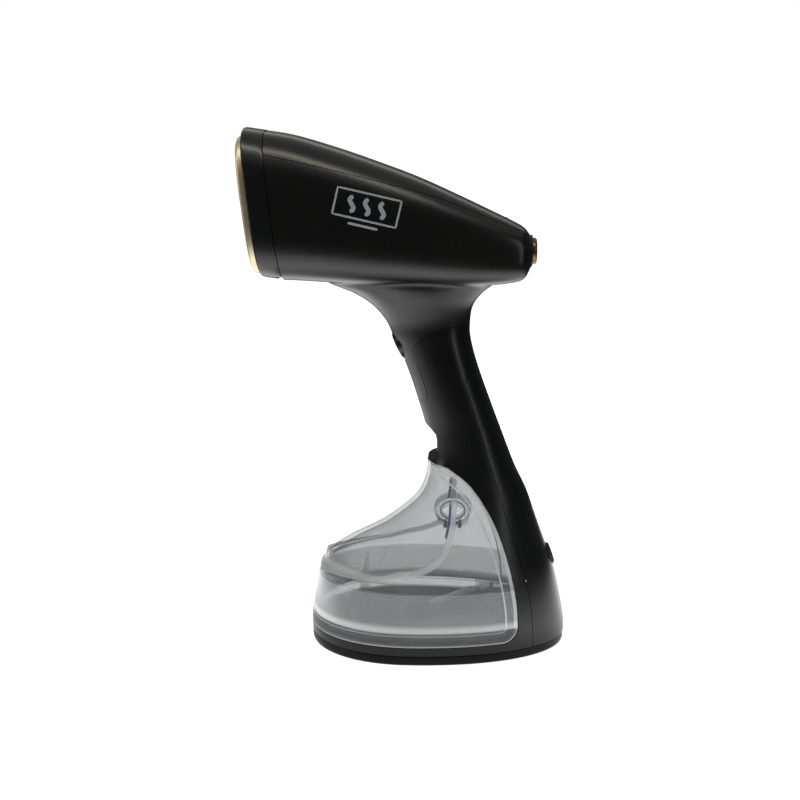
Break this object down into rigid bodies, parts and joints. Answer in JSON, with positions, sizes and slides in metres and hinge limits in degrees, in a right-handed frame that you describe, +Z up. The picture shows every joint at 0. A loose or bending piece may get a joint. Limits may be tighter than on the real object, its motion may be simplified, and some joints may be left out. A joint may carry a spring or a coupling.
{
  "type": "handheld garment steamer",
  "caption": "Handheld garment steamer: steam plate in a tilted head, grip with trigger, rear power button, clear slide-off water tank and flat base.",
  "frame": {"origin": "middle of the footprint box on the surface the feet stand on", "axes": "+X to the rear (power button), -X out of the steam plate, +Z up, +Y to the side with the fill cap"},
  "size_m": [0.1753, 0.0926, 0.2801],
  "materials": {
    "black_shell": "satin black moulded plastic, soft sheen",
    "black_trim": "satin black moulded plastic",
    "black_grip": "finely grained matt black plastic",
    "black_base": "fine spark-eroded matt black plastic",
    "champagne_plate": "satin champagne gold anodised",
    "copper_button": "metallised copper gold plastic",
    "brown_ring": "dark brown plastic",
    "silicone": "matt red silicone",
    "clear_silicone": "translucent silicone",
    "cast_alloy": "sand-blasted die casting",
    "steel_tube": "drawn tube, slightly browned",
    "shield_steel": "pressed sheet",
    "screw_steel": "zinc plated",
    "spring_steel": "drawn wire",
    "brass_nozzle": "turned",
    "ceramic_fuse": "white sleeve",
    "switch_black": "moulded",
    "board_green": "lacquered circuit board",
    "clear_lens": "clear light guide",
    "white_nylon": "moulded nylon",
    "coil_copper": "lacquered copper winding",
    "black_rubber": "matt",
    "clear_tank": "clear, faintly blue-grey tinted plastic",
    "grey_cap": "hazy clear plastic"
  },
  "bodies": {
    "housing": {"head_housing": "black_shell", "head_top_cover": "black_shell", "front_collar": "black_trim", "steam_plate": "champagne_plate", "plate_gasket": "silicone", "steam_chamber": "cast_alloy", "heating_element": "steel_tube", "chamber_cover": "cast_alloy", "chamber_gasket": "silicone", "chamber_screws": "screw_steel", "steam_nozzle": "brass_nozzle", "thermostat": "steel_tube", "thermal_fuse": "ceramic_fuse", "heat_shield": "shield_steel", "power_ring": "brown_ring", "power_switch": "switch_black", "power_spring": "spring_steel", "control_board": "board_green", "indicator_lens": "clear_lens", "handle_shell": "black_shell", "rear_cover": "black_grip", "trigger_frame": "black_trim", "trigger_spring": "spring_steel", "trigger_switch": "switch_black", "pump_body": "white_nylon", "pump_coil": "coil_copper", "pump_bracket": "shield_steel", "inlet_hose": "clear_silicone", "outlet_hose": "clear_silicone", "dock_spigot": "white_nylon", "dock_seal": "black_rubber", "cord_gland": "black_rubber", "cord_clamp": "switch_black", "base_plate": "black_base", "base_screws": "screw_steel", "foot_1": "black_rubber", "foot_2": "black_rubber", "foot_3": "black_rubber", "foot_4": "black_rubber", "release_spring": "spring_steel"},
    "power_key": {"power_button": "copper_button"},
    "trigger_key": {"steam_trigger": "black_trim"},
    "release_key": {"release_button": "black_trim"},
    "tank": {"tank_shell": "clear_tank", "tank_tray": "clear_tank", "tank_baffle": "clear_tank", "fill_neck": "clear_tank", "fill_pin": "spring_steel", "valve_body": "clear_tank", "valve_spring": "spring_steel", "pickup_tube": "clear_silicone", "pickup_filter": "clear_tank"},
    "cap": {"fill_cap": "grey_cap", "fill_seal": "clear_silicone"},
    "poppet": {"valve_poppet": "clear_silicone"}
  },
  "joints": [
    {"name": "power_press", "type": "slide", "parent": "housing", "child": "power_key", "axis": [-1, 0, 0], "range_m": [0, 0.0018], "stiffness_N_per_m": 400, "springref_m": -0.002, "deforming": ["power_spring"]},
    {"name": "trigger_press", "type": "slide", "parent": "housing", "child": "trigger_key", "axis": [0.8988, 0, 0.4384], "range_m": [0, 0.0026], "stiffness_N_per_m": 500, "springref_m": -0.002, "deforming": ["trigger_spring"]},
    {"name": "release_press", "type": "slide", "parent": "housing", "child": "release_key", "axis": [1, 0, 0], "range_m": [0, 0.0024], "stiffness_N_per_m": 500, "springref_m": -0.002, "deforming": ["release_spring"]},
    {"name": "tank_slide", "type": "slide", "parent": "housing", "child": "tank", "axis": [-1, 0, 0], "range_m": [0, 0.12]},
    {"name": "cap_hinge", "type": "hinge", "parent": "tank", "child": "cap", "pos_m": [0.026, 0.03912, 0.05329], "axis": [-1, 0, 0], "range_deg": [0, 110]},
    {"name": "poppet_slide", "type": "slide", "parent": "tank", "child": "poppet", "axis": [1, 0, 0], "range_m": [0, 0.0032], "deforming": ["valve_spring"]}
  ],
  "couplings": [
    {"joint": "poppet_slide", "follows": "tank_slide", "ratio": 0.026667}
  ]
}
